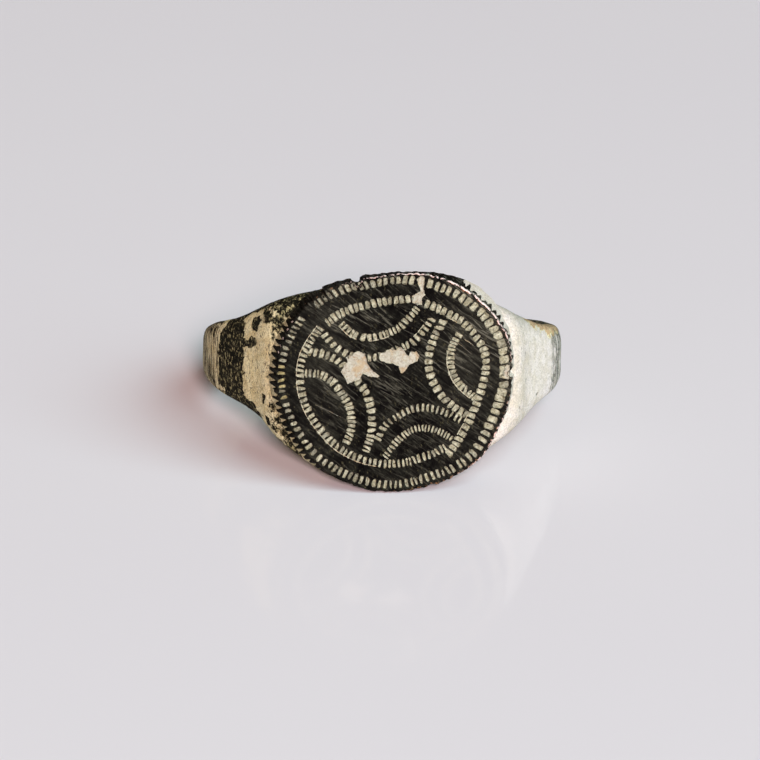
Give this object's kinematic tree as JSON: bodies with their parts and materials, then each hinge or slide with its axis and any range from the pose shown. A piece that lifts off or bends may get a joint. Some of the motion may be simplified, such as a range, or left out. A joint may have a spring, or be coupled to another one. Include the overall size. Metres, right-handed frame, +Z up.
{
  "type": "bronze finger ring",
  "caption": "Cast bronze finger ring with wide shoulders and a flat oval bezel, engraved with rows of short strokes in four petals.",
  "frame": {"origin": "on the surface that the ring lies on, under the middle of its box", "axes": "+X to the right along the face, +Y from the bezel towards the back of the hoop, +Z up; the finger hole leans back by 14.6 degrees because the tall bezel lifts the front"},
  "size_m": [0.021, 0.0218, 0.0123],
  "materials": {
    "bronze": "dark brown patina, rubbed smooth on the face, with cream and grey-green deposits"
  },
  "bodies": {
    "root": {"ring": "bronze"}
  },
  "joints": []
}
